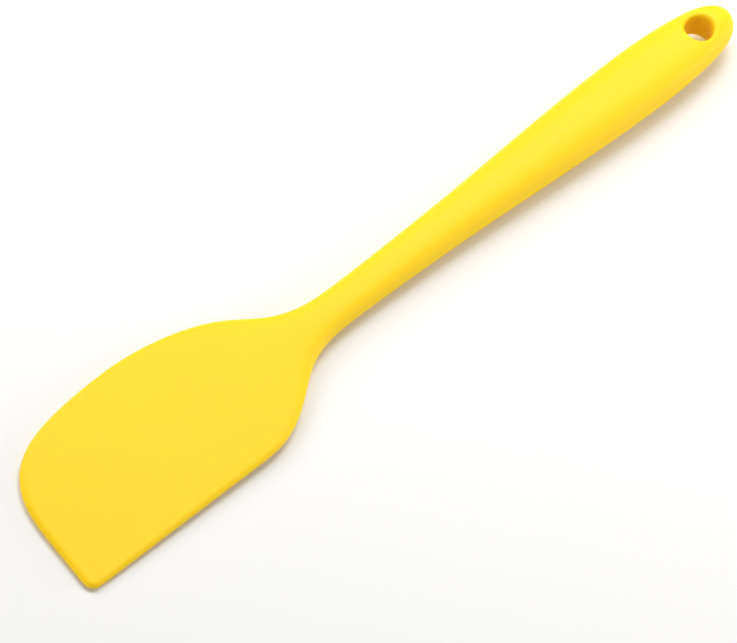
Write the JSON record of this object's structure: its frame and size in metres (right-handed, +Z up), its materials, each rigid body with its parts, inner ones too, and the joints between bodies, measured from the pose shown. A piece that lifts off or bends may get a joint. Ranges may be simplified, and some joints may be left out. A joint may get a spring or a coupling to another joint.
{
  "type": "silicone spatula",
  "caption": "Kitchen spatula with a thin flexible blade, one side straight and one rounded, and an oval handle with a hang hole, in seamless silicone moulded over a stiff core.",
  "frame": {"origin": "under the middle of the object, on the surface it lies on", "axes": "+X along the handle from the blade towards the hang hole, +Y towards the blade's rounded side, +Z up, out of the blade's upper face"},
  "size_m": [0.2788, 0.05, 0.0126],
  "materials": {
    "silicone": "matte, finely textured by its mould",
    "nylon": "natural, as moulded"
  },
  "bodies": {
    "root": {"silicone_overmould": "silicone", "nylon_core": "nylon"}
  },
  "joints": []
}
